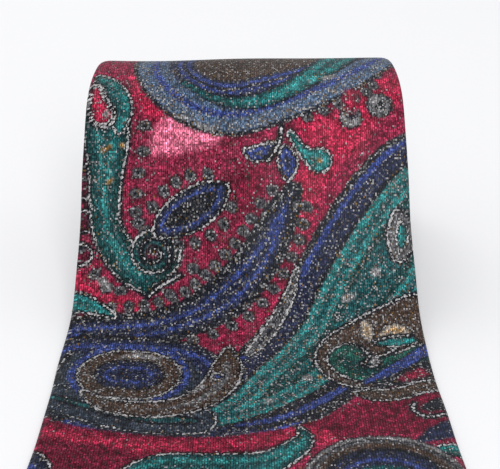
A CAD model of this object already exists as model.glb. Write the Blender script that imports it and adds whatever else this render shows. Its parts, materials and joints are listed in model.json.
"""A necktie, rolled up from its narrow end, with its wide blade let down over the front of the roll.

The cloth is thought of flat, in millimetres: x across the tie, s along it from the blade's point, and
depth d in from the face side. The fold path then carries every layer into the roll.
"""

import json
import math

import bpy
import numpy as np
from mathutils import Matrix, Vector


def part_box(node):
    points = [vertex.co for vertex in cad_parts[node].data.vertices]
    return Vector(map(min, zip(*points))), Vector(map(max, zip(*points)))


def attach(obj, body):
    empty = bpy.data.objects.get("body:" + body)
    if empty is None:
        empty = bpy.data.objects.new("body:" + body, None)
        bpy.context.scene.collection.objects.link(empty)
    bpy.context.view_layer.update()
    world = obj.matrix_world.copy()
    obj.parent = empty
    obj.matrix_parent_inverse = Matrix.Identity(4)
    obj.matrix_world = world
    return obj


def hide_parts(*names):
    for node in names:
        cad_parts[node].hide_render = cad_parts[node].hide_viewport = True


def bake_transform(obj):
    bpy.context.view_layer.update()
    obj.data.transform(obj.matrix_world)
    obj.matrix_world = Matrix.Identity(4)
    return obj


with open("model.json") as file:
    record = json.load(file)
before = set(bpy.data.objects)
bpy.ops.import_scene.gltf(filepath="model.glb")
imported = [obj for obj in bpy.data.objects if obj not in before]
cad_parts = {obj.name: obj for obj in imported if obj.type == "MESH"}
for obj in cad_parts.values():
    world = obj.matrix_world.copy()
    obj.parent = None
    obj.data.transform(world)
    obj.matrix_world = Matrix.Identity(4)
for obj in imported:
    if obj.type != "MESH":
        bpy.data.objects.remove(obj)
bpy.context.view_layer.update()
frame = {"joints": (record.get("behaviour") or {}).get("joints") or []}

MM = 0.001


# ---- camera ----

CAMERA_PLACE = (1.2, -242.9, 160.8)  # mm
CAMERA_DOWN = 26.74  # degrees below the horizon
CAMERA_ROLL = -0.37  # degrees, about its own axis
CAMERA_LENS = 82.2  # mm, on a 36 mm sensor


def make_camera():
    """Looks along +y, tilted down, then rolled a little about its own axis."""
    data = bpy.data.cameras.new("camera")
    data.lens = CAMERA_LENS
    data.sensor_width = 36
    data.clip_start = 0.01
    camera = bpy.data.objects.new("camera", data)
    bpy.context.scene.collection.objects.link(camera)
    camera.location = [v * MM for v in CAMERA_PLACE]
    tilt = Matrix.Rotation(math.radians(90 - CAMERA_DOWN), 3, "X")
    camera.rotation_euler = (tilt @ Matrix.Rotation(math.radians(CAMERA_ROLL), 3, "Z")).to_euler()
    bpy.context.scene.camera = camera


make_camera()


# ---- sizes, read from the frame where it has them ----


def extent(node, axis):
    """Lowest and highest value of a CAD node along one axis, in mm."""
    low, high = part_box(node)
    return low[axis] / MM, high[axis] / MM


def hinge(name):
    """Where a joint's axis is, as (y, z) in mm."""
    joint = next(j for j in frame["joints"] if j["name"] == name)
    return joint["pos_m"][1] / MM, joint["pos_m"][2] / MM


LENGTH = 1440.0
BLADE_WIDTH = 98.0  # at the two corners of the point
BLADE_TAPER = 0.085  # width lost for each millimetre of length
NECK_WIDTH = 36.0
TAIL_WIDTH = 42.0
TAIL_TAPER = 0.02
BLADE_CORNER, TAIL_CORNER = BLADE_WIDTH / 2, TAIL_WIDTH / 2
BLADE_HEM, TAIL_HEM = 11.0, 9.0  # how far the cloth is turned back at each point
BLADE_CLOSES, TAIL_CLOSES = 96.0, 75.0  # from each end to where the back flaps meet

THICK = extent("blade_shell_flap", 2)[1]
SILK = 0.32  # thickness of the silk
CANVAS = 0.8  # and of the canvas
EASE = (THICK - CANVAS - 2 * SILK) / 2  # air on each side of the canvas
FOLD_ROUND = 2.3  # how far in from the edge the pressed fold starts to round
SEAM_HALF = 0.1  # half the gap between the back flaps where they meet

FOOT_Y, _ = hinge("blade_lift")
FOOT_S = 104.0  # how far up the tie the blade leaves the table

ROLL_HIGH = extent("blade_shell_roll", 2)[1]
ROLL_BACK = extent("blade_shell_roll", 1)[1]
ROLL_PITCH = 1.95  # one turn lies this far inside the last
ROLL_HALF_DEPTH = 30.0
CORE_HALF_DEPTH = 4.0  # the innermost turn is no tighter than this
LEAVE_ANGLE = -58.0  # degrees from the crest, towards the front, where the blade leaves the roll
FILLET_RADIUS = 36.5  # of the hollow between the table and the roll


def turned_in(degrees):
    """How far the spiral has come in at that angle, from where the blade leaves it."""
    return ROLL_PITCH * (degrees - LEAVE_ANGLE) / 360


ROLL_HALF_HEIGHT = (ROLL_HIGH + turned_in(0) + turned_in(180)) / 2
ROLL_Z = ROLL_HALF_HEIGHT - turned_in(180)
ROLL_Y = ROLL_BACK - (ROLL_HALF_DEPTH - turned_in(90))


# ---- the fold path ----


def fold_path():
    """The face side seen from the end: flat on the table, a circular hollow, a straight rise that meets
    the roll at a tangent, then an oval spiral whose half axes shrink evenly with the angle."""
    degrees = np.arange(LEAVE_ANGLE, 360 * ROLL_HALF_DEPTH / ROLL_PITCH, 1.5)
    deep, high = ROLL_HALF_DEPTH - turned_in(degrees), ROLL_HALF_HEIGHT - turned_in(degrees)
    keep = deep > CORE_HALF_DEPTH
    degrees, deep, high = degrees[keep], deep[keep], high[keep]
    sin, cos = np.sin(np.radians(degrees)), np.cos(np.radians(degrees))
    roll_y, roll_z = ROLL_Y + deep * sin, ROLL_Z + high * cos
    roll_lean = np.unwrap(np.arctan2(sin / deep, cos / high))

    slope = -roll_lean[0]
    turned = np.linspace(0, slope, 40)
    fillet_y = FOOT_Y + FILLET_RADIUS * np.sin(turned)
    fillet_z = THICK + FILLET_RADIUS * (1 - np.cos(turned))
    rise = np.linspace(0, 1, 24)[1:-1]
    table_y = np.linspace(FOOT_Y - FOOT_S, FOOT_Y, 60)[:-1]

    y = np.concatenate([table_y, fillet_y, fillet_y[-1] + rise * (roll_y[0] - fillet_y[-1]), roll_y])
    z = np.concatenate(
        [np.full(len(table_y), THICK), fillet_z, fillet_z[-1] + rise * (roll_z[0] - fillet_z[-1]), roll_z]
    )
    lean = np.concatenate([np.zeros(len(table_y)), -turned, np.full(len(rise), -slope), roll_lean])
    middle = np.stack([y - np.sin(lean) * THICK / 2, z - np.cos(lean) * THICK / 2])
    s = np.concatenate([[0], np.cumsum(np.hypot(*np.diff(middle, axis=1)))])
    return s, y, z, lean


PATH_S, PATH_Y, PATH_Z, PATH_LEAN = fold_path()
CREST_S = float(np.interp(0, PATH_LEAN[PATH_S > FOOT_S + 60], PATH_S[PATH_S > FOOT_S + 60]))
OUTER_TURN_ENDS = CREST_S + 120  # from here on the turns are wound tight


def half_width(s):
    """Half the tie's width: a square point, a straight taper, a parallel neck and a widening tail, with
    the slight unevenness of a pressed fold."""
    s = np.asarray(s, float)
    blade = BLADE_WIDTH - BLADE_TAPER * (s - BLADE_CORNER)
    tail = TAIL_WIDTH - TAIL_TAPER * (LENGTH - s - TAIL_CORNER)
    half = np.maximum(np.maximum(blade, tail), NECK_WIDTH) / 2
    uneven = 0.14 * np.sin(s / 9.3 + 0.8) + 0.1 * np.sin(s / 4.1) + 0.35 * hump(s, 165, 60)
    return np.minimum(np.minimum(s, LENGTH - s), half + uneven)


def half_opening(s):
    """Half the opening between the back flaps, which spread from where they close to the corners."""
    s = np.asarray(s, float)

    def end(away, corner, closes, hem):
        spread = np.interp(away, [corner, closes], [corner - hem, SEAM_HALF])
        return np.where(away <= corner, np.maximum(SEAM_HALF, away - hem), spread)

    blade = end(s, BLADE_CORNER, BLADE_CLOSES, BLADE_HEM)
    tail = end(LENGTH - s, TAIL_CORNER, TAIL_CLOSES, TAIL_HEM)
    return np.minimum(np.where(s < LENGTH / 2, blade, tail), 0.6 * half_width(s))


def hump(value, centre, width):
    """A smooth bump, 1 at its centre."""
    return np.exp(-(((value - centre) / width) ** 2))


def ease_out(value, start, end):
    """1 before start, 0 after end, with a smooth slope between."""
    t = np.clip((value - start) / (end - start), 0, 1)
    return 1 - t * t * (3 - 2 * t)


LEFT_SPREAD = 1.1  # the blade's left edge swings out this far as it leaves the table


def drape(x, s):
    """How far the loose outer turn stands off the even path: long soft waves outwards, less the droop of
    its two overhanging edges, which is most at the crest."""
    loose = ease_out(s, OUTER_TURN_ENDS - 60, OUTER_TURN_ENDS)
    waves = (
        np.sin(x / 13 + s / 31)
        + 0.7 * np.sin(x / 7.5 - s / 17 + 1.7)
        + 0.5 * np.sin(x / 21 + s / 9.5 + 0.6)
    )
    crest = hump(s, CREST_S, 26)
    swell = (0.1 + 0.1 * crest) * (waves + 2.2) + 0.25 * crest * (1 + np.sin(x / 30))
    side = np.clip((np.abs(x) - half_width(s) + 4) / 4, 0, 1) ** 2
    droop = side * (0.1 + 0.15 * hump(s, CREST_S, 30)) * (s > FOOT_S)
    return loose * (swell - droop)


def place(x, s, d):
    """Where points of the flat tie lie, in metres: across by x, along the path by s, and in from its face
    by d."""
    lean = np.interp(s, PATH_S, PATH_LEAN)
    depth = d - drape(x, s)
    x = x - LEFT_SPREAD * hump(s, FOOT_S, 15) * np.clip(-x / BLADE_CORNER, 0, 1)
    y = np.interp(s, PATH_S, PATH_Y) - np.sin(lean) * depth
    z = np.interp(s, PATH_S, PATH_Z) - np.cos(lean) * depth
    return np.stack([x + 0 * y, y, z], axis=-1) * MM


# ---- meshes ----


def tube_faces(rows, columns):
    """The faces of a closed tube whose points are a grid, one row for each section: quads wound so that
    (along a row) x (along a column) points out, then a cap on the first row and one on the last."""
    index = np.arange(rows * columns).reshape(rows, columns)
    index = np.concatenate([index, index[:, :1]], axis=1)
    a, b, c, d = index[:-1, :-1], index[:-1, 1:], index[1:, 1:], index[1:, :-1]
    sides = np.stack([a, b, c, d], axis=-1).reshape(-1, 4)
    return sides.tolist() + [index[0, -2::-1].tolist(), index[-1, :-1].tolist()]


def make_mesh(name, points, faces, flat_faces=0):
    """A mesh object from an array of points and lists of corners, whose last few faces are shaded flat."""
    mesh = bpy.data.meshes.new(name)
    mesh.from_pydata(points.reshape(-1, 3).tolist(), [], faces)
    smooth = np.arange(len(mesh.polygons)) < len(mesh.polygons) - flat_faces
    mesh.polygons.foreach_set("use_smooth", smooth)
    mesh.update()
    made = bpy.data.objects.new(name, mesh)
    bpy.context.scene.collection.objects.link(made)
    return made


def point_attribute(made, name, values, kind):
    """Writes one value to each vertex for the materials to read."""
    layer = made.data.attributes.new(name, kind, "POINT")
    field = {"FLOAT": "value", "FLOAT_VECTOR": "vector", "FLOAT_COLOR": "color"}[kind]
    layer.data.foreach_set(field, np.asarray(values, np.float32).ravel())


def bake_map(made, across, along):
    """A UV map of the cloth laid flat, filling the square."""
    corners = np.empty(len(made.data.loops), np.int32)
    made.data.loops.foreach_get("vertex_index", corners)

    def fill(values):
        values = np.asarray(values, float).ravel()
        return 0.01 + 0.98 * (values - values.min()) / (values.max() - values.min())

    uv = np.stack([fill(across)[corners], fill(along)[corners]], axis=-1)
    made.data.uv_layers.new(name="OFBake").data.foreach_set("uv", uv.astype(np.float32).ravel())


# ---- the figured cloth: what each thread shows, drawn on the flat tie in mm ----


def linear(code):
    """An sRGB hex colour as linear numbers."""
    channel = np.array([int(code[i : i + 2], 16) / 255 for i in (1, 3, 5)])
    return np.where(channel <= 0.04045, channel / 12.92, ((channel + 0.055) / 1.055) ** 2.4)


DYES = {
    "wine": linear("#561429"),
    "claret": linear("#711a32"),
    "crimson": linear("#892742"),
    "scarlet": linear("#aa2a47"),
    "pink": linear("#f07c9a"),
    "teal": linear("#1f4e51"),
    "deep_teal": linear("#173c3c"),
    "sea": linear("#2d7979"),
    "green": linear("#24564d"),
    "navy": linear("#262b42"),
    "royal": linear("#384680"),
    "slate": linear("#4d5f77"),
    "smoke": linear("#343c47"),
    "ash": linear("#56565a"),
    "pewter": linear("#8d8b8c"),
    "night": linear("#1d1f27"),
    "brown": linear("#46372f"),
    "gold": linear("#94703f"),
    "silver": linear("#cbc9ca"),
    "cream": linear("#bfae9a"),
}

REPEAT = 190.0  # the figure comes again after this length
SOFT = 0.5  # a colour's edge wanders over about one thread
SHADED = 3.0  # or over this much where dyes shade into each other


def style(bands, piping=(), seeds=None):
    """How a shape of the figure is filled. The bands go from the outside in: (where the band starts, mm
    outside the shape's edge; its dye; its share of silver threads). Piping is the fine lines of silver
    beads, by how far outside the edge each runs. Seeds are (distance out, one every so many mm)."""
    return {"bands": bands, "piping": piping, "seeds": seeds}


STYLES = {
    "medallion": style(
        [(1.9, "night", 0.5), (0.5, "slate", 0.6), (-0.7, "slate", 0.44), (-3.4, "royal", 0.26),
         (-5.4, "slate", 0.2), (-8.2, "navy", 0.22), (-10.8, "royal", 0.14), (-12, "night", 0.25),
         (-13.2, "royal", 0.1), (-14.4, "navy", 0.22), (-15.6, "brown", 0.26)],
        seeds=(3.9, 4.6)),
    "sash": style([(0.7, "night", 0.2), (0.0, "teal", 0.14), (-1.0, "sea", 0.14), (-3.0, "teal", 0.14)]),
    "great_paisley": style(
        [(9.6, "night", 0.5), (7.6, "royal", 0.08), (6.1, "navy", 0.3), (1.8, "night", 0.28),
         (0.6, "sea", 0.34), (-1.4, "teal", 0.34), (-3.4, "sea", 0.32), (-5.0, "deep_teal", 0.36),
         (-7.0, "teal", 0.26)]),
    "swirl": style(
        [(1.8, "night", 0.42), (0.2, "night", 0.34), (-0.8, "navy", 0.26), (-2.2, "royal", 0.2),
         (-3.4, "navy", 0.34)],
        seeds=(3.4, 4.6)),
    "pool": style(
        [(0.8, "night", 0.3), (-0.8, "navy", 0.14), (-2.4, "royal", 0.14), (-4.2, "navy", 0.14),
         (-6.6, "smoke", 0.06)]),
    "pool_rim": style([(5.4, "smoke", 0.12), (1.2, "night", 0.1), (0.0, "teal", 0.06)], piping=(4.6,)),
    "ground": style([(0.0, "claret", 0.0)]),
    "dash_field": style([(0.7, "night", 0.4), (-0.2, "ash", 0.5), (-0.9, "night", 0.5)], piping=(0.1,)),
    "blush": style([(0.6, "pink", 0.02)]),
    "flush": style([(0.0, "scarlet", 0.03)]),
    "shade": style([(0.0, "wine", 0.1)]),
    "deep": style([(0.0, "claret", 0.06)]),
    "eye": style(
        [(2.2, "royal", 0.12), (0.5, "night", 0.35), (-0.5, "brown", 0.34), (-3.9, "night", 0.3),
         (-4.8, "navy", 0.2), (-6.8, "royal", 0.12), (-7.8, "navy", 0.2)],
        piping=(-0.2,)),
    "brown_arm": style([(0.8, "night", 0.3), (-0.2, "brown", 0.34), (-2.6, "ash", 0.5)], piping=(0.2,)),
    "teal_body": style(
        [(1.5, "night", 0.24), (0.3, "deep_teal", 0.2), (-1.2, "teal", 0.2), (-2.6, "sea", 0.18),
         (-4.0, "teal", 0.22)],
        piping=(0.5,), seeds=(5, 5.8)),
    "low_body": style(
        [(0.8, "night", 0.2), (0.0, "teal", 0.08), (-1.4, "sea", 0.06), (-3.0, "teal", 0.08)],
        piping=(0.2,)),
    "snail": style(
        [(1.0, "night", 0.25), (-0.2, "deep_teal", 0.12), (-1.2, "teal", 0.12), (-3.4, "wine", 0.2),
         (-4.6, "night", 0.5)],
        piping=(0.4,)),
    "teal_leaf": style([(1.0, "night", 0.3), (-0.2, "sea", 0.1), (-1.8, "teal", 0.24)], piping=(0.5,)),
    "teal_bulb": style([(0.9, "night", 0.25), (0.0, "sea", 0.16), (-2.2, "gold", 0.3)], piping=(0.4,)),
    "navy_leaf": style(
        [(1.3, "night", 0.2), (0.0, "navy", 0.16), (-0.9, "royal", 0.16), (-1.8, "night", 0.34)],
        piping=(0.8,), seeds=(3.9, 4.4)),
    "petal": style([(1.1, "night", 0.34), (-0.1, "royal", 0.16), (-1.2, "navy", 0.2)], piping=(0.6,)),
    "drop": style([(2.7, "night", 0.3), (0.7, "scarlet", 0.1)], piping=(1.9, 0.9)),
    "ring": style([(1.0, "night", 0.35), (0.2, "ash", 0.6), (-0.9, "night", 0.3)]),
    "ball": style([(0.9, "night", 0.4), (0.1, "ash", 0.6), (-1.4, "night", 0.5)]),
    "ring_flower": style(
        [(1.2, "night", 0.3), (-0.2, "ash", 0.6), (-1.8, "night", 0.25), (-2.4, "sea", 0.15)],
        piping=(0.3, -1.9)),
    "fleck": style([(0.5, "pewter", 0.4)]),
    "night_blue": style([(0.0, "navy", 0.1)]),
    "gold_fleck": style([(0.3, "gold", 0.3)]),
    "scallop": style([(0.9, "night", 0.4), (-0.6, "wine", 0.16)], piping=(0.1,)),
    "brown_field": style([(1.2, "night", 0.24), (-0.4, "brown", 0.32)], piping=(0.4,)),
    "teal_curl": style(
        [(0.9, "night", 0.24), (-0.2, "green", 0.12), (-2.6, "deep_teal", 0.12)],
        piping=(0.3,)),
    "silver_line": style([(0.8, "night", 0.15)], piping=(-0.2,)),
    "night_field": style([(0.0, "night", 0.28)]),
    "royal_band": style([(0.5, "night", 0.2), (0.0, "royal", 0.1)]),
    "cream_leaf": style([(0.8, "night", 0.4), (0.1, "cream", 0.4), (-0.8, "gold", 0.4)]),
    "lens": style([(0.8, "night", 0.1), (0.0, "sea", 0.05)], piping=(0.4,)),
    "great_ring": style(
        [(1.0, "night", 0.2), (0.3, "pewter", 0.3), (-0.4, "night", 0.2), (-1.1, "ash", 0.3),
         (-1.8, "brown", 0.16), (-3.6, "night", 0.1), (-4.8, "navy", 0.08), (-7.4, "royal", 0.06),
         (-8.4, "navy", 0.1), (-10, "teal", 0.08)]),
    "navy_ring": style(
        [(0.8, "night", 0.2), (-0.6, "navy", 0.14), (-3.0, "royal", 0.1), (-4.6, "night", 0.2)],
        piping=(0.2,)),
}

# The figure, in the order it is laid: a style, and the line that the shape's middle runs along, as
# (x, s, half the shape's width). A shape of two lines is their union.
FIGURE = [
    ("deep", [(-4, 154, 3), (0, 160, 5), (3, 152, 3)]),
    ("shade", [(9, 134, 1), (11, 138, 2)]),
    ("shade", [(-44, 150, 4), (-44, 165, 4), (-44, 180, 3)]),
    ("blush", [(-23, 170, 2), (-19.6, 172.6, 4.2), (-16.6, 174, 4.6), (-12.4, 173, 3), (-9, 172, 1.4)]),
    ("flush", [(-31, 192, 1.5), (-28, 186, 2.5), (-25, 180, 3)]),
    ("flush", [(14, 178, 1), (20, 174, 4), (26, 172, 6), (32, 178, 5), (40, 186, 5)]),
    ("flush", [(22, 164, 3), (17, 159, 4), (15, 151, 3), (14, 146, 2), (5, 134, 1.5)]),
    ("flush", [(-50, 134, 3), (-42, 131, 2.5), (-34, 127, 2.5), (-27, 124, 2), (-20, 126, 1.5)]),
    ("medallion", [(-4, 200, 26), (6, 208, 30), (15, 215, 31), (24, 221, 24)]),
    ("sash", [(-17, 189.4, 0.6), (-9, 183.6, 1.0), (0, 182, 1.7), (8, 184, 2.2), (17, 190, 3),
              (24, 198, 4.2), (28, 207, 5), (28, 216, 5), (24, 226, 3)]),
    ("fleck", [(22.4, 190.4, 0.3), (24.6, 191, 0.3)]),
    ("great_paisley", [(50, 161, 4), (47, 156, 7), (43, 147, 10), (38, 137, 11.5), (31, 127, 10.5),
                       (24, 116, 8.5), (17, 106, 8), (10, 96.5, 7.5), (3, 88, 5.4), (-6, 81.5, 3),
                       (-16, 79.2, 1.5), (-27, 81, 0.9), (-37, 85.5, 0.5)]),
    ("swirl", [(13, 157, 1), (9.5, 150, 3.2), (6, 142.5, 4), (1.5, 135.5, 4.6), (-5, 128, 5),
               (-13, 122, 4.4), (-23, 118, 4.4), (-34, 116, 5), (-45, 114, 6), (-54, 111, 7)]),
    ("royal_band", [(-51, 111.6, 0.6), (-46, 114.4, 0.8), (-42.6, 116.4, 0.3)]),
    ("dash_field", [(0.6, 108, 0.8), (4.6, 114, 1.6), (8.4, 121, 1.5), (12, 129, 1.1), (14, 136, 0.3)]),
    ("pool", [(-40, 98, 17), (-30, 97.5, 17), (-20, 97, 16)]),
    ("silver_line", [(-47.4, 97, 0.3), (-46.4, 103, 0.3), (-44.4, 109, 0.3)]),
    ("night_field", [(0, 78, 2), (8, 81, 3.4), (16, 86, 4.2), (24, 93, 3.6), (28, 98, 2)]),
    ("royal_band", [(-2, 77.6, 0.4), (4, 79.2, 0.8), (10.6, 82, 1), (17, 86.8, 1.1), (22.4, 91.6, 1.1),
                    (26, 96, 0.6)]),
    ("pool_rim", [(-56, 93, 0.3), (-46, 89.6, 0.4), (-38, 86, 0.6), (-30, 82.6, 0.9), (-20, 80.2, 1.1),
                  (-12, 79.4, 0.4)]),
    ("ground", [(-52, 79.5, 3), (-42, 75.8, 3), (-30, 72, 3.4), (-18, 69.8, 3.6), (-6, 69.8, 3.4),
                (4, 72, 3.2), (12, 75.5, 2), (20, 77, 4), (29, 80, 6.2), (38, 82, 7.6), (50, 84, 8.4)]),
    ("flush", [(-46, 76, 1.5), (-36, 72, 2.5), (-30, 69, 4), (-22, 70, 2), (-8, 70, 1.5), (4, 72, 1),
               (14, 75, 1.5), (19, 72, 2)]),
    ("ground", [(-50, 70, 4), (-38, 66, 6), (-30, 64, 6)]),
    ("night_field", [(43.4, 84.4, 1.8), (47, 86, 2.6), (52, 87, 3)]),
    ("silver_line", [(40.2, 86, 0.3), (39.6, 83.6, 0.3), (41.4, 81.4, 0.3), (43.6, 80.8, 0.3),
                     (48, 82.4, 0.3)]),
    ("low_body", [(12.6, 76.4, 0.4), (13.4, 73, 1.7), (11.4, 69.4, 2.7), (7.4, 65.6, 3.3), (2, 62.6, 4.4),
                  (-8, 61.6, 5), (-19, 61.4, 5), (-27, 57.6, 3)]),
    ("night_blue", [(40, 71.8, 1), (44.4, 74.6, 2.6), (51, 78, 3.6)]),
    ("teal_bulb", [(50, 68, 2.4), (44.6, 68.6, 1)]),
    ("great_ring", [(29.4, 56, 16.6), (31.6, 56, 16.6)]),
    ("navy_ring", [(-53, 60, 10), (-54, 54, 12)]),
    ("eye", [(-31, 99.4, 10.4), (-26.2, 98.8, 10.4)]),
    ("fleck", [(-31, 107, 0.1), (-27, 107.6, 0.5), (-21.6, 106.2, 0.1)]),
    ("brown_arm", [(-39, 91.5, 0.8), (-34, 86.6, 2.1), (-26, 84.4, 2.7), (-17.5, 84.8, 3.1),
                   (-10, 88.9, 3.6), (-6, 96, 3.9), (-4.6, 103, 3.3), (-4.4, 109.5, 1)]),
    ("petal", [(-7, 98, 0.9)]),
    ("fleck", [(-12.6, 91.4, 0.2), (-10.4, 93.6, 0.3)]),
    ("scallop", [(-44.5, 140, 2.9)]),
    ("scallop", [(-44.2, 149, 2.9)]),
    ("scallop", [(-44.2, 158, 2.7)]),
    ("scallop", [(-44.4, 166.5, 2.2)]),
    ("teal_body", [(-38.4, 177, 6), (-37.8, 170, 5.2), (-38, 162, 4), (-38.2, 154.6, 3.5),
                   (-37.6, 147.5, 3.4), (-34.8, 141.4, 3.8), (-30.6, 136.8, 4.4), (-27.6, 132.6, 2.6),
                   (-26.6, 129.4, 0.5)],
                  [(-27, 133.6, 1.8), (-24, 135, 2.6), (-21, 137.6, 2.2), (-19.4, 140.6, 1.2)]),
    ("snail", [(-24.9, 140.6, 5.5)]),
    ("silver_line", [(-21.0, 136.4, 0.2), (-20.6, 140.4, 0.2), (-22.4, 143.8, 0.2), (-26.0, 144.2, 0.2),
                     (-28.2, 141.6, 0.2), (-27.4, 138.6, 0.2), (-24.8, 137.6, 0.2), (-22.8, 139.4, 0.2),
                     (-23.6, 141.6, 0.2), (-25.6, 141.2, 0.2)]),
    ("gold_fleck", [(-38.8, 168.4, 0.4), (-37, 169.4, 0.3)]),
    ("gold_fleck", [(-33.6, 170, 0.4)]),
    ("gold_fleck", [(-36.4, 160.4, 0.3), (-37.4, 159.4, 0.2)]),
    ("silver_line", [(-26, 127.8, 0.3), (-22.6, 131, 0.3), (-17.6, 134, 0.3)]),
    ("teal_leaf", [(-41, 192.5, 0.5), (-38.4, 188.6, 2.6), (-35.8, 184, 3.3), (-34, 179, 2.4),
                   (-34.4, 174.6, 1)]),
    ("drop", [(-41.6, 187, 0.2), (-40.6, 182.4, 0.9), (-39.2, 178.4, 1.7)]),
    ("fleck", [(-38.2, 179.6, 0.1), (-38, 178, 0.2)]),
    ("teal_leaf", [(-50, 126.5, 2.6), (-44, 126, 2.4), (-38, 123.6, 1), (-35, 122, 0.4)]),
    ("fleck", [(-38.6, 132.4, 0.8), (-36.6, 130.4, 0.4)]),
    ("navy_leaf", [(-23.4, 146.4, 0.9), (-19.6, 149, 3.7), (-15, 151.8, 4.8), (-10.4, 154.8, 4.1),
                   (-6.4, 157.6, 1.2)]),
    ("fleck", [(-18, 177.8, 0.2), (-15.6, 177.4, 0.1)]),
    ("fleck", [(-12.6, 175.4, 0.2), (-9.4, 174.2, 0.2)]),
    ("petal", [(0.4, 168, 0.3), (3.4, 167.4, 1.6), (7.4, 169.8, 0.3)]),
    ("silver_line", [(10, 174.4, 0.3), (9.2, 170, 0.3), (6.4, 165.6, 0.3)]),
    ("petal", [(11, 168.4, 0.6), (11.6, 164.8, 2.1), (11.6, 160.6, 0.3)]),
    ("teal_bulb", [(12.4, 172.8, 0.4), (15, 169, 0.8), (17.8, 166.4, 1.6), (20.2, 165.4, 2.9)]),
    ("ring", [(29, 177, 2.4)]),
    ("fleck", [(27.6, 176, 0.2), (29.2, 175.2, 0.4), (30.8, 176, 0.2)]),
    ("flush", [(29, 180, 1.2), (29.2, 184, 1.2)]),
    ("ball", [(37, 180.6, 3)]),
    ("fleck", [(35.6, 182, 0.9)]),
    ("ball", [(13.6, 153.4, 0.7)]),
    ("ring_flower", [(41.4, 150, 1.4), (42.4, 144.8, 3.6), (41.4, 139.6, 1.8)]),
    ("fleck", [(35, 134.6, 0.8)]),
    ("fleck", [(26.8, 127, 0.7), (28.4, 127.6, 0.2)]),
    ("fleck", [(15.2, 97.4, 0.8)]),
    ("gold_fleck", [(18.4, 97.8, 0.3)]),
    ("fleck", [(5.6, 87.6, 0.5)]),
    ("brown_arm", [(27, 91, 0.4), (31, 89.8, 1.9), (37, 90.2, 2), (42, 92.4, 2), (50, 95.4, 2.2)]),
    ("brown_field", [(30.4, 105.6, 12.4), (38, 109, 14), (48, 112.5, 15.5)]),
    ("teal_curl", [(46, 106.5, 4.6), (37, 101, 5.6), (29, 101.6, 5.4), (24.6, 106, 3.6),
                   (26.6, 109.8, 1.8), (29.6, 108.6, 0.9)]),
    ("night_field", [(31, 92.8, 0.6), (37, 96.2, 2.2), (47, 101.6, 3.6)]),
    ("royal_band", [(29.4, 95.2, 0.6), (37, 100.8, 1.5), (47, 110, 1.7)]),
    ("flush", [(39, 96.6, 0.4), (43.5, 99, 1)]),
    ("silver_line", [(29.2, 103.6, 0.3), (31.2, 102.2, 0.3), (33.4, 103.2, 0.3), (33.4, 106.6, 0.3),
                     (35.2, 107.2, 0.3), (38.6, 109.8, 0.3)]),
    ("fleck", [(32, 106.4, 0.2), (32, 104.4, 0.4)]),
    ("silver_line", [(29.6, 110.6, 0.3), (31.4, 107, 0.3), (30.4, 104.8, 0.3)]),
    ("cream_leaf", [(31.2, 119.4, 0.5), (31.6, 116.6, 1.3), (32, 113.2, 0.4)]),
    ("cream_leaf", [(35.4, 115.2, 0.4), (38.8, 116.6, 1.7), (42, 116, 0.7)]),
    ("lens", [(33.6, 111.8, 0.2), (38, 112.2, 1.3), (43, 112.8, 0.9)]),
    ("silver_line", [(33.2, 112.6, 0.2), (37, 114.2, 0.2), (43, 114.6, 0.2)]),
    ("navy_leaf", [(-46, 40, 0.8), (-38, 46, 4.4), (-30, 52, 1)]),
    ("ball", [(-22, 42, 2.8)]),
    ("teal_bulb", [(-30, 36, 0.6), (-35, 33, 1), (-40, 31, 2.8)]),
]

SOFT_STYLES = ("blush", "flush", "shade", "deep")  # dyes that shade into the ground


def smooth_line(points, step=0.5):
    """A Catmull-Rom curve through the points, sampled about every step."""
    p = np.array(points, float)
    if len(p) == 1:
        return p
    ends = np.concatenate([[2 * p[0] - p[1]], p, [2 * p[-1] - p[-2]]])
    pieces = []
    for a, b, c, d in zip(ends[:-3], ends[1:-2], ends[2:-1], ends[3:]):
        count = max(2, int(np.hypot(*(c - b)[:2]) / step))
        t = np.arange(count)[:, None] / count
        square, cube = 2 * a - 5 * b + 4 * c - d, 3 * b - a - 3 * c + d
        pieces.append(0.5 * (2 * b + (c - a) * t + square * t**2 + cube * t**3))
    return np.concatenate(pieces + [p[-1:]])


def stroke(x, s, line):
    """The shape that a round brush of changing size leaves. For each point: the least distance to the
    brush's rim (below 0 inside), and how far round the shape it lies."""
    away = np.full(x.shape, 1e3)
    nearest = np.zeros(x.shape, int)
    for i, (cx, cs, radius) in enumerate(line):
        gap = np.hypot(x - cx, s - cs) - radius
        closer = gap < away
        away[closer] = gap[closer]
        nearest[closer] = i
    length = run_length(line)
    way = np.gradient(line[:, :2], axis=0) if len(line) > 1 else np.array([[0.0, 1.0]])
    way /= np.maximum(np.hypot(*way.T), 1e-6)[:, None]
    from_middle = np.stack([x, s], -1) - line[nearest, :2]
    reach = np.maximum(np.hypot(*from_middle.T), 1e-6)
    past_end = np.clip((from_middle * way[nearest]).sum(-1) / reach, -1, 1)
    return away, length[nearest] + reach * np.arcsin(past_end)


def run_length(line):
    """How far along the line each of its points is."""
    return np.concatenate([[0], np.cumsum(np.hypot(*np.diff(line[:, :2], axis=0).T))])


def lay(cloth, cover, dye, silver):
    """Lays a dye and a share of silver threads over what the cloth shows already."""
    cloth[:, :3] += cover[:, None] * (DYES[dye] - cloth[:, :3])
    cloth[:, 3] += cover * (silver - cloth[:, 3])


SEED_OUT, SEED_ALONG = 1.9, 1.5  # a seed's half axes
# as shares of those axes: where each layer ends and how fast it fades, then its dye and share of silver
SEED_LAYERS = [(1.25, 0.3, "night", 0.2), (0.95, 0.25, "ash", 0.6), (0.6, 0.25, "night", 0.25)]


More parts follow.
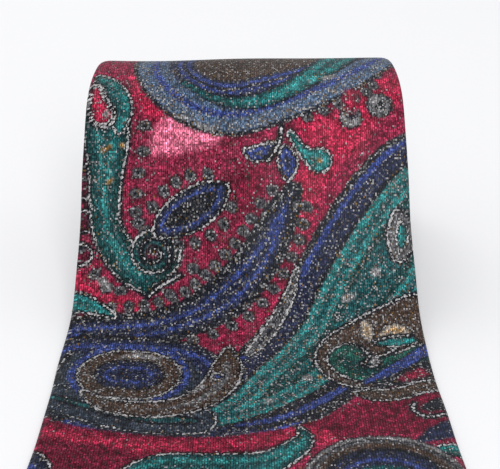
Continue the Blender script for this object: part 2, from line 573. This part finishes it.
def lay_seeds(cloth, x, s, line, out, period):
    """Small ovals, grey with a dark eye, set round a shape at an even distance from its edge."""
    length = run_length(line)
    marks = np.arange(period / 2, max(length[-1], period * 0.9), period)
    here = np.stack([np.interp(marks, length, line[:, i]) for i in range(3)], axis=-1)
    ahead = np.stack([np.interp(marks + 0.5, length, line[:, i]) for i in range(2)], axis=-1)
    way = ahead - here[:, :2]
    size = np.hypot(*way.T)[:, None]
    way = np.where(size > 1e-6, way / np.maximum(size, 1e-6), [1.0, 0.0])
    for side in (-1, 1):
        across = side * np.stack([-way[:, 1], way[:, 0]], axis=-1)
        for (cx, cs), (nx, ns) in zip(here[:, :2] + across * (here[:, 2:] + out), across):
            near = np.flatnonzero(np.abs(x - cx) + np.abs(s - cs) < 2.1 * SEED_OUT)
            if not len(near):
                continue
            u = (x[near] - cx) * nx + (s[near] - cs) * ns
            v = (x[near] - cx) * -ns + (s[near] - cs) * nx
            oval = np.hypot(u / SEED_OUT, v / SEED_ALONG)
            part = cloth[near]
            for rim, fade, dye, silver in SEED_LAYERS:
                lay(part, np.clip((rim - oval) / fade, 0, 1), dye, silver)
            cloth[near] = part


NO_PIPING = 9.0  # a distance at which none is drawn
FIGURE_REACH = (20, 260)  # no shape of the figure reaches past these s


def woven_figure(x, s):
    """What the cloth shows at each point: its dye as linear red, green and blue with the share of silver
    threads, and for the piping, how far off the nearest silver line is and how far along it. Each point
    is read a little to the side, by small sines, as no woven edge is quite even."""
    shape = x.shape
    x, s = x.ravel(), s.ravel()
    x, s = (
        x + 0.16 * np.sin(3.1 * s + 2 * np.sin(1.3 * x)) + 0.05 * np.sin(5.3 * s + 1.7 * x),
        s + 0.16 * np.sin(2.9 * x + 2 * np.sin(1.1 * s)) + 0.05 * np.sin(4.7 * x - 2.3 * s),
    )
    cloth = np.tile(np.append(DYES["crimson"], 0.05), (len(x), 1))
    piping = np.tile([NO_PIPING, 0.0, 0.0], (len(x), 1))
    first = math.floor((s.min() - FIGURE_REACH[1]) / REPEAT)
    last = math.ceil((s.max() - FIGURE_REACH[0]) / REPEAT)
    for name, *strokes in FIGURE:
        lines_of = [smooth_line(points) for points in strokes]
        look = STYLES[name]
        bands, seeds = look["bands"], look["seeds"]
        reach = max(bands[0][0], seeds[0] + 2 if seeds else 0) + 3
        soft = SHADED if name in SOFT_STYLES else SOFT
        for k in range(first, last + 1):
            moved = [line + [0, k * REPEAT, 0] for line in lines_of]
            every = np.concatenate(moved)
            low = (every[:, :2] - every[:, 2:]).min(0) - reach
            high = (every[:, :2] + every[:, 2:]).max(0) + reach
            near = np.flatnonzero((x > low[0]) & (x < high[0]) & (s > low[1]) & (s < high[1]))
            if not len(near):
                continue
            part, lines = cloth[near], piping[near]
            for line in moved if seeds else []:
                lay_seeds(part, x[near], s[near], line, *seeds)
            away, along = stroke(x[near], s[near], moved[0])
            for line in moved[1:]:
                other, other_along = stroke(x[near], s[near], line)
                along = np.where(other < away, other_along, along)
                away = np.minimum(away, other)
            for edge, dye, silver in bands:
                lay(part, np.clip((edge - away) / soft + 0.5, 0, 1), dye, silver)
            inside = away < bands[0][0]
            if soft == SOFT:
                lines[inside, 0] = NO_PIPING
            for offset in look["piping"]:
                off = np.abs(away - offset)
                closer = off < lines[:, 0]
                lines[closer, 0], lines[closer, 1] = off[closer], along[closer]
            cloth[near], piping[near] = part, lines
    return cloth.reshape(*shape, 4), piping.reshape(*shape, 3)


# ---- materials ----


def node(tree, kind, inputs=(), **settings):
    """Adds a node with its settings. Its inputs, in their order or by name, are values or what to link:
    a socket, or a node for its first output."""
    made = tree.nodes.new("ShaderNode" + kind)
    for name, value in settings.items():
        setattr(made, name, value)
    for name, value in inputs.items() if isinstance(inputs, dict) else enumerate(inputs):
        if isinstance(value, bpy.types.Node):
            value = value.outputs[0]
        if isinstance(value, bpy.types.NodeSocket):
            tree.links.new(value, made.inputs[name])
        else:
            made.inputs[name].default_value = value
    return made


def start_material(name, **surface):
    """A material with one Principled shader, whose even values are set on its own sockets."""
    material = bpy.data.materials.new(name)
    material.use_nodes = True
    tree = material.node_tree
    shader = tree.nodes["Principled BSDF"]
    for socket, value in surface.items():
        shader.inputs[socket.replace("_", " ")].default_value = value
    return material, tree, shader


def wave_scale(length):
    """A wave texture's Scale for bands this far apart."""
    return 2 * math.pi / (20 * length)


THREAD = (0.36, 0.46, 1)  # mm across and along; real ones are 0.15, drawn coarser so that they show
RIB = 0.5712  # mm from one rib of the weave to the next
CLUMPS = 0.45  # silver threads gather in clumps, so many to a mm
FADES = 0.22  # and the piping swells and thins, so many times in a mm
BEAD = 1.3  # mm from one silver bead of the piping to the next


def figured_silk():
    """Jacquard silk: dyed floats that shine softly, stippled with dark and with glittering silver-grey
    threads, and silver beads along the piping."""
    material, tree, shader = start_material(
        "figured_silk", Roughness=0.5, IOR=1.5, Specular_IOR_Level=0.12
    )
    figure = node(tree, "Attribute", attribute_name="figure").outputs
    flat = node(tree, "Attribute", attribute_name="flat_mm").outputs["Vector"]
    piping = node(tree, "Attribute", attribute_name="piping").outputs["Vector"]
    piping = node(tree, "SeparateXYZ", [piping]).outputs
    threads = node(tree, "VectorMath", [flat, THREAD], operation="DIVIDE")
    crossing = node(tree, "VectorMath", [threads], operation="FLOOR")
    chance = node(tree, "TexWhiteNoise", [crossing], noise_dimensions="3D").outputs
    pick = node(tree, "SeparateColor", [chance["Color"]]).outputs
    clumps = node(tree, "TexNoise", {"Vector": flat, "Scale": CLUMPS, "Detail": 4})
    waves = {"Vector": flat, "Scale": wave_scale(RIB), "Distortion": 0.4}
    ribs = node(tree, "TexWave", waves, bands_direction="X").outputs["Fac"]

    # the dye, a little lighter or darker in each thread
    uneven = node(tree, "Math", [chance["Value"], 2.5], operation="POWER")
    shade = node(tree, "Math", [uneven, 3.9, 0.3], operation="MULTIPLY_ADD")
    dark = node(tree, "Math", [pick["Red"], 0.68], operation="GREATER_THAN")
    by_piping = node(tree, "Math", [piping["X"], 0.65], operation="LESS_THAN")
    for cause, gain, base in (clumps, 3, -0.5), (ribs, 0.8, 0.6), (dark, -0.8, 1), (by_piping, -0.5, 1):
        factor = node(tree, "Math", [cause, gain, base], operation="MULTIPLY_ADD")
        shade = node(tree, "Math", [shade, factor], operation="MULTIPLY")
    dyed = node(tree, "VectorMath", {0: figure["Color"], "Scale": shade}, operation="SCALE")

    # where the silver shows: by chance, and on the piping's beads
    clumped = node(tree, "Math", [clumps, -4.4, 3.2], operation="MULTIPLY_ADD")
    share = node(tree, "Math", [figure["Alpha"], clumped], operation="MULTIPLY")
    silver_here = node(tree, "Math", [pick["Green"], share], operation="LESS_THAN")
    along = node(tree, "Math", [piping["Y"], 2 * math.pi / BEAD], operation="MULTIPLY")
    beads = node(tree, "Math", [along], operation="SINE")
    fades = node(tree, "TexNoise", {"Vector": flat, "Scale": FADES, "Detail": 2})
    faded = node(tree, "Math", [fades, 0.6, -0.06], operation="MULTIPLY_ADD")
    bead_half = node(tree, "Math", [beads, 0.08, faded], operation="MULTIPLY_ADD")
    in_bead = node(tree, "Math", [piping["X"], bead_half], operation="LESS_THAN")
    whole = node(tree, "Math", [pick["Blue"], 0.15], operation="GREATER_THAN")
    on_bead = node(tree, "Math", [in_bead, whole], operation="MULTIPLY")
    off_bead = node(tree, "Math", [1, on_bead], operation="SUBTRACT")

    # how bright it glints, and the threads of it that are gold or take up the dye
    sharp = node(tree, "Math", [pick["Blue"], 2.2], operation="POWER")
    glint = node(tree, "Math", [sharp, 0.5, 0.1], operation="MULTIPLY_ADD")
    softer = node(tree, "Math", [chance["Value"], 1.4], operation="POWER")
    bead_glint = node(tree, "Math", [softer, 0.75, 0.15], operation="MULTIPLY_ADD")
    bead_glint = node(tree, "Math", [on_bead, bead_glint], operation="MULTIPLY")
    glint = node(tree, "Math", [glint, bead_glint], operation="MAXIMUM")
    bright_dye = node(tree, "VectorMath", {0: figure["Color"], "Scale": 3}, operation="SCALE")
    shown = (*DYES["silver"], 1)
    for test, level, other in (
        ("GREATER_THAN", 0.93, (*DYES["gold"] * 1.2, 1)),
        ("LESS_THAN", 0.4, bright_dye),
    ):
        chosen = node(tree, "Math", [chance["Value"], level], operation=test)
        chosen = node(tree, "Math", [chosen, off_bead], operation="MULTIPLY")
        shown = node(tree, "Mix", {0: chosen, 6: shown, 7: other}, data_type="RGBA").outputs[2]
    silver = node(tree, "VectorMath", {0: shown, "Scale": glint}, operation="SCALE")
    either = node(tree, "Math", [silver_here, on_bead], operation="MAXIMUM")
    shown = node(tree, "Mix", {0: either, 6: dyed, 7: silver}, data_type="RGBA").outputs[2]

    height = node(tree, "Math", [chance["Value"], 0.7, ribs], operation="MULTIPLY_ADD")
    bump = node(tree, "Bump", {"Height": height, "Strength": 0.6, "Distance": 0.0001})
    rough = node(tree, "Math", [pick["Red"], 0.3, 0.35], operation="MULTIPLY_ADD")
    tree.links.new(shown, shader.inputs["Base Color"])
    tree.links.new(rough.outputs[0], shader.inputs["Roughness"])
    tree.links.new(bump.outputs[0], shader.inputs["Normal"])
    return material


def woven(name, code, pitch, roughness, contrast=0.35, sheen=0.1):
    """Plain woven cloth of one dye: two sets of bands, across and slantwise, at the given pitch in mm,
    with soft uneven patches of about a millimetre."""
    material, tree, shader = start_material(
        name, Roughness=roughness, IOR=1.5, Specular_IOR_Level=0.25, Sheen_Weight=sheen, Sheen_Roughness=0.5
    )
    place_of = node(tree, "TexCoord").outputs["Object"]
    threads = {"Vector": place_of, "Scale": wave_scale(pitch * MM), "Distortion": 0.6}
    warp, weft = [
        node(tree, "TexWave", threads, bands_direction=way).outputs["Fac"] for way in ("X", "DIAGONAL")
    ]
    height = node(tree, "Math", [warp, weft], operation="ADD")
    patches = node(tree, "TexNoise", {"Vector": place_of, "Scale": 0.9 / MM, "Detail": 4})
    tone = node(tree, "Math", [patches, contrast, 1 - contrast / 2], operation="MULTIPLY_ADD")
    colour = node(tree, "VectorMath", {0: tuple(linear(code)), "Scale": tone}, operation="SCALE")
    bump = node(tree, "Bump", {"Height": height, "Strength": 0.4, "Distance": 0.0001})
    tree.links.new(colour.outputs[0], shader.inputs["Base Color"])
    tree.links.new(bump.outputs[0], shader.inputs["Normal"])
    return material


def woven_border(material, code):
    """A line of another colour woven along the cloth's edge, 1.5 to 2.3 mm in by its attribute."""
    tree = material.node_tree
    colour = tree.nodes["Principled BSDF"].inputs["Base Color"]
    edge = node(tree, "Attribute", attribute_name="border").outputs["Fac"]
    on_line = node(tree, "Math", [edge, 1.9, 0.4], operation="COMPARE")
    sides = {0: on_line, 6: colour.links[0].from_socket, 7: (*linear(code), 1)}
    tree.links.new(node(tree, "Mix", sides, data_type="RGBA").outputs[2], colour)


SILK_CLOTH = figured_silk()
# The canvas has its real pitch; the finer cloths are drawn two to three times as coarse, so they show.
# Wool woven loosely and brushed: a pale nap that scatters light and has no gloss.
CANVAS_WOOL = woven("brushed_wool_canvas", "#d8d0bd", 0.9, 0.95, 0.5, 0.3)
# Acetate of fine smooth filament: dark, with a broad low gloss.
TIPPING_CLOTH = woven("acetate_tipping", "#191b27", 0.45, 0.4, sheen=0.0)
# Two-ply twisted thread: a dull gloss broken by the twist.
SEWING_THREAD = woven("twisted_sewing_thread", "#4a2434", 0.3, 0.6)
# Polyester damask: a tight dark weave, half matt, with a paler border woven in.
LABEL_CLOTH = woven("damask_label", "#1f2640", 0.4, 0.5, sheen=0.0)
woven_border(LABEL_CLOTH, "#9a8f78")
# Satin-woven polyester: long floats that make a white, soft gloss.
RIBBON_SATIN = woven("white_satin_ribbon", "#e9e7e2", 0.35, 0.4)


def dress(made, material):
    """Gives a piece its cloth, and names the slot for it."""
    made.data.materials.append(material)
    return made


# ---- the silk, folded round the canvas ----

EDGE_POINTS = 6
INSIDE_POINTS = 16  # across the face, on the shell's unseen inner side
TURNED_IN = np.array([[0.85, 0.5, 0.15]])  # the rim of a back flap, as shares of the silk's thickness


def shell_outline(s, face_points, back_points):
    """The folded silk's section at each s, a closed C: along a back flap from its rim, round the
    half-ellipse of the pressed fold, across the face, round and back to the other rim, and the same
    again on the inner side, one silk's thickness in. Returns x and d."""
    half = half_width(s)[:, None]
    near_point = np.minimum(s, LENGTH - s)[:, None]
    corner = np.where(s < LENGTH / 2, BLADE_CORNER, TAIL_CORNER)[:, None]
    slant = np.where(near_point < corner, math.sqrt(2), 1)
    closing = np.sqrt(np.clip(1 - (1 - np.clip(near_point / 3, 0, 1)) ** 2, 0.03, 1))
    top = THICK * (1 - closing) / 2
    opening = half_opening(s)[:, None]

    def side(inset, edge_points, flat_points):
        """One half of the section, at a depth of inset inside the cloth, from the rim to the face."""
        fold = np.minimum(FOLD_ROUND * slant, half * 0.98) - inset * 0.5
        out = half - inset * slant
        rise = np.maximum(THICK * closing / 2 - inset, 0.02)
        turn = np.linspace(math.pi, 0, edge_points + 2)[1:-1][None]
        flat_x = opening + 0.1 + (out - fold - opening - 0.1) * np.linspace(0, 1, flat_points)[None]
        fold_x = out - fold + fold * np.sin(turn)
        fold_d = THICK / 2 - rise * np.cos(turn)
        return [flat_x, fold_x], [THICK / 2 + rise + 0 * flat_x, fold_d], out - fold, THICK / 2 - rise

    (flat_x, fold_x), (flat_d, fold_d), face_half, face_d = side(0.0, EDGE_POINTS, back_points)
    rim_x = opening + 0 * TURNED_IN
    rim_d = THICK - top - SILK * closing * TURNED_IN
    outer_x = np.concatenate([rim_x, flat_x, fold_x], axis=1)
    outer_d = np.concatenate([rim_d, flat_d, fold_d], axis=1)
    across = np.linspace(-1, 1, face_points)[None]
    (in_flat_x, in_fold_x), (in_flat_d, in_fold_d), in_half, in_d = side(SILK, 3, 4)
    inner_x = np.concatenate([in_flat_x, in_fold_x], axis=1)
    inner_d = np.concatenate([in_flat_d, in_fold_d], axis=1)
    inside = np.linspace(1, -1, INSIDE_POINTS)[None]
    x = [-outer_x, face_half * across, outer_x[:, ::-1], inner_x, in_half * inside, -inner_x[:, ::-1]]
    d = [outer_d, face_d + 0 * across, outer_d[:, ::-1], inner_d, in_d + 0 * inside, inner_d[:, ::-1]]
    return np.concatenate(x, axis=1), np.concatenate(d, axis=1)


def silk_surface(name, x, along, d):
    """A piece of the figured silk from a grid of points on the tie, closed round its section."""
    made = make_mesh(name, place(x, along, d), tube_faces(*x.shape), flat_faces=2)
    cloth, piping = woven_figure(x, along)
    run = np.hypot(np.diff(x, axis=1), np.diff(d, axis=1)).cumsum(axis=1)
    across = np.concatenate([0 * x[:, :1], run], axis=1)
    across -= across.mean(axis=1, keepdims=True)
    flat = np.stack([x + 1.7 * d, along, 0 * x], -1)  # d carries the threads on round the fold
    point_attribute(made, "figure", cloth, "FLOAT_COLOR")
    point_attribute(made, "piping", piping, "FLOAT_VECTOR")
    point_attribute(made, "flat_mm", flat, "FLOAT_VECTOR")
    bake_map(made, across, along)
    dress(made, SILK_CLOTH)
    return made


def silk_shell(name, s0, s1, step, face_points, back_points):
    """A length of the silk shell. Its face looks out of the roll."""
    s = np.linspace(s0, s1, int(round((s1 - s0) / step)) + 1)
    x, d = shell_outline(s, face_points, back_points)
    return silk_surface(name, x, np.repeat(s[:, None], x.shape[1], axis=1), d)


POINT_ENDS = 60.0  # the shell is made in lengths: the blade's point ends here
BLADE_ENDS = 214.0  # and its front here, just past the crest
TURN_ENDS = 400.0
BLADE_NECK_SEAM = 760.0
NECK_TAIL_SEAM = 1010.0
SEAM_GAP = 0.3  # left on both sides of a piecing seam
TIP_BLUNT = 0.35  # the folded points end this far short of sharp


def follow_joints(made, ends_at):
    """Carries a length of the tie that ends at that s: the point bends at the tip's hinge and the blade
    at its foot, each evenly over the bend, and the rest stays on the roll."""
    if ends_at == POINT_ENDS:
        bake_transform(made)
    elif ends_at == BLADE_ENDS:
        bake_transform(made)
    else:
        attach(made, "roll")


def make_silk():
    """The shell: the blade in four lengths, the neck and the tail, each a sheet folded to the back."""
    lengths = [
        # name, from, to, step along, points across the face and each back flap, nodes replaced
        ("silk_blade_point", TIP_BLUNT, POINT_ENDS, 0.6, 190, 40, ["blade_shell_tip"]),
        ("silk_blade", POINT_ENDS, BLADE_ENDS, 0.5, 200, 26, ["blade_shell_flap"]),
        ("silk_outer_turn", BLADE_ENDS, TURN_ENDS, 0.8, 130, 26, []),
        ("silk_inner_turns", TURN_ENDS, BLADE_NECK_SEAM - SEAM_GAP, 1.5, 50, 12, ["blade_shell_roll"]),
        ("silk_neck", BLADE_NECK_SEAM + SEAM_GAP, NECK_TAIL_SEAM - SEAM_GAP, 1.2, 32, 10, ["neck_shell"]),
        ("silk_tail", NECK_TAIL_SEAM + SEAM_GAP, LENGTH - TIP_BLUNT, 1.2, 36, 12, ["tail_shell"]),
    ]
    for name, s0, s1, step, face_points, back_points, nodes in lengths:
        made = silk_shell(name, s0, s1, step, face_points, back_points)
        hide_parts(*nodes)
        follow_joints(made, s1)
        middle = np.linspace(s0, s1, 200)
        unfolded = 2 * (2 * half_width(middle) - half_opening(middle))


# ---- the wool canvas inside the silk ----

CANVAS_TOP = SILK + EASE
CANVAS_ENDS = 6.0  # it stops short of each point
CANVAS_IN = FOLD_ROUND * 0.55  # and of each pressed fold
CANVAS_JOIN = 930.0


def slab(name, s, half, d0, d1, across=13, edge=3):
    """A flat layer of cloth between the depths d0 and d1, whose half width follows s, with edges rounded
    by half an ellipse."""
    middle, thick = (d0 + d1) / 2, (d1 - d0) / 2
    half = np.asarray(half)[:, None]
    round_in = np.minimum(thick, half * 0.5)
    turn = np.linspace(0, math.pi, edge + 2)[1:-1][None]
    face = (half - round_in) * np.linspace(-1, 1, across)[None]
    fold = half - round_in + round_in * np.sin(turn)
    x = np.concatenate([face, fold, face[:, ::-1], -fold], axis=1)
    d_face = middle - thick + 0 * face
    d_fold = middle - thick * np.cos(turn) + 0 * fold
    d_back = middle + thick + 0 * face
    d = np.concatenate([d_face, d_fold, d_back, d_fold[:, ::-1]], axis=1)
    along = np.repeat(s[:, None], x.shape[1], axis=1)
    made = make_mesh(name, place(x, along, d), tube_faces(*x.shape), flat_faces=2)
    bake_map(made, x + 200 * (d > middle), along)
    return made


def make_canvas():
    """Brushed wool interlining, a single layer as wide as the tie, pieced once."""
    lengths = [
        ("wool_canvas_point", CANVAS_ENDS, POINT_ENDS, "canvas_tip"),
        ("wool_canvas_blade", POINT_ENDS, BLADE_ENDS, "canvas_flap"),
        ("wool_canvas_turns", BLADE_ENDS, CANVAS_JOIN - SEAM_GAP, "canvas_main"),
        ("wool_canvas_tail", CANVAS_JOIN + SEAM_GAP, LENGTH - CANVAS_ENDS, "canvas_tail"),
    ]
    for name, s0, s1, solid in lengths:
        s = np.linspace(s0, s1, int((s1 - s0) / 1.5) + 2)
        half = half_width(s) - CANVAS_IN
        made = slab(name, s, half, CANVAS_TOP, CANVAS_TOP + CANVAS)
        dress(made, CANVAS_WOOL)
        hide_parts(solid)
        follow_joints(made, s1)


# ---- the tipping: lining let into the back of each point ----

TUCK = 2.0  # the tipping's edge runs this far under the flaps
TIPPING = 0.07  # its thickness
TIPPING_BACK = THICK - SILK - 0.02  # just clear of the flaps above it


def make_tipping():
    """Thin lining that fills each opening and goes under the silk's rims."""
    lengths = [
        ("tipping_blade_point", BLADE_HEM, POINT_ENDS, "blade_tipping_tip"),
        ("tipping_blade", POINT_ENDS, BLADE_CLOSES, "blade_tipping_flap"),
        ("tipping_tail", LENGTH - TAIL_CLOSES, LENGTH - TAIL_HEM, "tail_tipping"),
    ]
    for name, s0, s1, solid in lengths:
        s = np.linspace(s0, s1, int(s1 - s0) + 1)
        half = np.minimum(half_opening(s) + TUCK, half_width(s) - FOLD_ROUND)
        made = slab(name, s, half, TIPPING_BACK - TIPPING, TIPPING_BACK, across=31)
        dress(made, TIPPING_CLOTH)
        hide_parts(solid)
        if s1 == BLADE_CLOSES:
            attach(made, "flap")
        else:
            follow_joints(made, s1)


# ---- sewing: every stitch is a bent length of thread ----


def stitches(name, ends, radius, depth, rise, body, solid):
    """Lengths of round thread, one for each pair of ends ((x, s), (x, s)). Each comes out of the cloth,
    arches over it by rise along half a sine, and goes in again; depth is where the cloth's surface is."""
    ends = np.asarray(ends, float)
    t = np.linspace(0, 1, 6)
    turn = np.linspace(0, 2 * math.pi, 7)[:-1]
    middle = ends[:, None, 0] + (ends[:, 1] - ends[:, 0])[:, None] * t[None, :, None]
    arch = depth - radius * 0.6 + (rise + radius * 1.2) * np.sin(math.pi * t)
    way = ends[:, 1] - ends[:, 0]
    side = np.stack([-way[:, 1], way[:, 0]], -1) / np.hypot(*way.T)[:, None]
    thin = radius * np.array([0.6, 1, 1, 1, 1, 0.6])
    out = middle[:, :, None] + side[:, None, None] * (thin[:, None] * np.cos(turn))[None, :, :, None]
    d = arch[None, :, None] + thin[None, :, None] * np.sin(turn) + 0 * out[..., 0]
    points = place(out[..., 0], out[..., 1], d).reshape(len(ends), -1, 3)
    one = tube_faces(len(t), len(turn))
    faces = [[v + i * len(t) * len(turn) for v in face] for i in range(len(ends)) for face in one]
    made = make_mesh(name, points, faces)
    dress(made, SEWING_THREAD)
    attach(made, body)
    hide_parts(solid)
    return made


def bar(x0, x1, s0, s1, count):
    """A bar tack: threads side by side from x0 to x1, one after another from s0 to s1."""
    return [((x0, s), (x1, s + 0.12)) for s in np.linspace(s0, s1, count)]


def running(fixed, start, stop, across, on=1.5, off=0.9):
    """A line of running stitches at a fixed x along s, or across at a fixed s."""
    marks = np.arange(start, stop - on + 0.01, on + off)
    line = [((fixed, m), (fixed, m + on)) for m in marks]
    return [((a[1], a[0]), (b[1], b[0])) for a, b in line] if across else line


SLIP_THREAD, TACK_THREAD, SEAM_THREAD = 0.16, 0.15, 0.12  # radii
KEEPER_FROM, KEEPER_TO = 146.0, 155.0
KEEPER_HALF = extent("keeper_loop", 0)[1]
LABEL_FROM, LABEL_TO = 114.0, 134.0
LABEL_HALF = extent("name_label", 0)[1]
CARE_LEFT, CARE_RIGHT = extent("care_label", 0)
CARE_S = 142.0


def make_sewing():
    """The slip stitch that closes the back, the tacks at its ends, the piecing seams, and the stitches of
    the keeper and the labels."""
    slip = np.arange(FOOT_S + 2, LENGTH - TAIL_CLOSES - 8, 8.0)
    hand = [((-0.7, s), (0.7, s + 1.8)) for s in slip]
    stitches("hand_slip_stitch", hand, SLIP_THREAD, THICK - 0.1, 0.06, "roll", "slip_stitch")
    tack = bar(-0.9, 0.9, BLADE_CLOSES + 1, BLADE_CLOSES + 5, 13)
    stitches("blade_tack_threads", tack, TACK_THREAD, THICK - 0.08, 0.0, "flap", "blade_bar_tack")
    tail_tack = bar(-0.9, 0.9, LENGTH - TAIL_CLOSES - 5, LENGTH - TAIL_CLOSES - 1, 13)
    stitches("tail_tack_threads", tail_tack, TACK_THREAD, THICK - 0.08, 0.0, "roll", "tail_bar_tack")
    for name, s, depth, solid in (
        ("blade_neck_seam_threads", BLADE_NECK_SEAM, SILK / 2, "blade_neck_seam"),
        ("neck_tail_seam_threads", NECK_TAIL_SEAM, SILK / 2, "neck_tail_seam"),
        ("canvas_join_threads", CANVAS_JOIN, CANVAS_TOP + CANVAS / 2, "canvas_join_stitch"),
    ):
        half = float(half_width(s)) - 3
        row = [((x, s - 0.5), (x + 0.9, s + 0.5)) for x in np.arange(-half, half, 1.8)]
        stitches(name, row, SEAM_THREAD, depth, -0.1, "roll", solid)
    for side, word in ((-1, "left"), (1, "right")):
        x = side * (KEEPER_HALF - 2)
        keeper = bar(x - 0.8, x + 0.8, KEEPER_FROM + 1, KEEPER_TO - 1, 15)
        name, solid = f"keeper_tack_threads_{word}", f"keeper_tack_{word}"
        stitches(name, keeper, TACK_THREAD, THICK + 0.72, 0.04, "roll", solid)
        label = running(side * (LABEL_HALF - 0.9), LABEL_FROM + 0.6, LABEL_TO - 0.4, False)
        name, solid = f"label_threads_{word}", f"name_label_stitch_{word}"
        stitches(name, label, SEAM_THREAD, THICK + 0.36, 0.0, "roll", solid)
    care = running(CARE_S, CARE_LEFT + 0.6, CARE_RIGHT - 0.6, True)
    stitches("care_label_threads", care, SEAM_THREAD, THICK + 0.05, 0.1, "roll", "care_label_stitch")


# ---- the keeper and the two labels on the blade's back ----


def flat_ring(edge, square=0.35):
    """Points round a flat tube's section, -1 to 1 both ways: an ellipse pressed nearly square."""
    turn = np.linspace(-math.pi / 2, 1.5 * math.pi, 2 * edge + 1)[:-1]
    wide = np.sign(np.cos(turn)) * np.abs(np.cos(turn)) ** square
    return wide, -np.sin(turn)


def make_keeper():
    """A strip of the same silk folded to a flat band: flat feet, sewn down, and a bridge that stands off
    the back. Its section is a ring with a slit beneath: outside round, then inside back again."""
    foot_long, slope_long, stands_off = 4.5, 3, 1.2
    half, thick, silk = (KEEPER_TO - KEEPER_FROM) / 2, 0.3, 0.22
    across = np.linspace(-KEEPER_HALF, KEEPER_HALF, 109)
    foot = 1 - np.clip((KEEPER_HALF - foot_long - np.abs(across)) / slope_long, 0, 1)
    rise = 1 - foot * foot * (3 - 2 * foot)
    d = THICK + EASE + thick + rise * (stands_off + 0.12 * np.cos(across / 5))
    wide, deep = flat_ring(12)
    section_s = np.concatenate([half * wide, (half - silk) * wide[::-1]])
    section_d = np.concatenate([thick * deep, (thick - silk) * deep[::-1]])
    x = np.repeat(across[:, None], len(section_s), axis=1)
    along = (KEEPER_FROM + KEEPER_TO) / 2 + section_s + 0 * x
    made = silk_surface("keeper_band", x, along, d[:, None] - section_d[None])
    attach(made, "roll")
    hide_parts("keeper_loop")
    wide, long = KEEPER_TO - KEEPER_FROM, 2 * KEEPER_HALF


def make_name_label():
    """A woven label, left blank but for a border: a flat tube pressed nearly square, which stands off
    the back by a low wave between its sewn ends."""
    thick = 0.11  # half its thickness
    across = np.linspace(-LABEL_HALF, LABEL_HALF, 141)
    d = THICK + EASE + 0.03 * (1 + np.cos(across / 2.3)) * (np.abs(across) < LABEL_HALF - 2)
    wide, deep = flat_ring(40, square=0.2)
    x = np.repeat(across[:, None], len(wide), axis=1)
    along = (LABEL_FROM + LABEL_TO) / 2 + (LABEL_TO - LABEL_FROM) / 2 * wide + 0 * x
    depth = d[:, None] + thick * (1 - deep)
    made = make_mesh("blank_name_label", place(x, along, depth), tube_faces(*x.shape), flat_faces=2)
    edge = np.minimum(LABEL_HALF - np.abs(x), np.minimum(along - LABEL_FROM, LABEL_TO - along))
    point_attribute(made, "border", edge, "FLOAT")
    bake_map(made, x, along + 30 * (depth > d[:, None] + thick))
    dress(made, LABEL_CLOTH)
    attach(made, "roll")
    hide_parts("name_label")


def make_care_label():
    """A tab of satin ribbon that hangs by its sewn top edge, with a slight curl: its middle line bows
    by a sine of its height."""
    low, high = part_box("care_label")
    thick, margin = 0.16 * MM, 0.1 * MM
    u, v = np.meshgrid(np.linspace(0, 1, 29), np.linspace(0, 1, 22))
    curl = 0.10 * np.sin(math.pi * v) + 0.06 * (2 * u - 1) ** 2 * (1 - v)
    x = low[0] + margin + (high[0] - low[0] - 2 * margin) * u
    y = (low[1] + high[1]) / 2 + curl * MM
    z = low[2] + margin + (high[2] - low[2] - 2 * margin) * v
    front = np.stack([x, y - thick / 2, z], -1)
    back = np.stack([x, y + thick / 2, z], -1)[:, ::-1]
    points = np.concatenate([front, back], axis=1)
    made = make_mesh("satin_care_label", points, tube_faces(*points.shape[:2]), flat_faces=2)
    bake_map(made, np.concatenate([u, u[:, ::-1] + 1.1], axis=1), np.concatenate([v, v], axis=1))
    dress(made, RIBBON_SATIN)
    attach(made, "care_label")
    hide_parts("care_label")


make_silk()
make_canvas()
make_tipping()
make_sewing()
make_keeper()
make_name_label()
make_care_label()


# ---- floor and light ----


def make_floor():
    """A large square of matt paper, just under the cloth so that they don't share a plane."""
    side, under = 3.0, 0.0003  # metres
    corners = np.array([[-side, -side, 0], [side, -side, 0], [side, side, 0], [-side, side, 0]])
    floor = make_mesh("floor", corners - [0, 0, under], [(0, 1, 2, 3)], flat_faces=1)
    material, _, _ = start_material("white_paper", Base_Color=(*linear("#e1e1e2"), 1), Roughness=0.9)
    floor.data.materials.append(material)


def area_light(name, place_m, target_m, size, power):
    """A square softbox of that size in metres and power in watts, facing its target."""
    data = bpy.data.lights.new(name, "AREA")
    data.size = size
    data.energy = power
    light = bpy.data.objects.new(name, data)
    bpy.context.scene.collection.objects.link(light)
    light.location = place_m
    light.rotation_euler = (Vector(target_m) - Vector(place_m)).to_track_quat("-Z", "Y").to_euler()


def make_light():
    """Even light from all round, a large softbox over the front, and a small one over the back."""
    world = bpy.data.worlds.new("studio")
    bpy.context.scene.world = world
    world.use_nodes = True
    sky = world.node_tree.nodes["Background"].inputs
    sky["Color"].default_value = (*linear("#fbfcff"), 1)
    sky["Strength"].default_value = 0.53
    area_light("front_softbox", (0.2, -2.2, 1.45), (0, 0.05, 0.03), 1.5, 68)
    area_light("top_softbox", (-0.3, 0.9, 1.3), (0, 0.4, 0), 1.2, 10.6)
    bpy.context.scene.view_settings.view_transform = "Standard"


make_floor()
make_light()
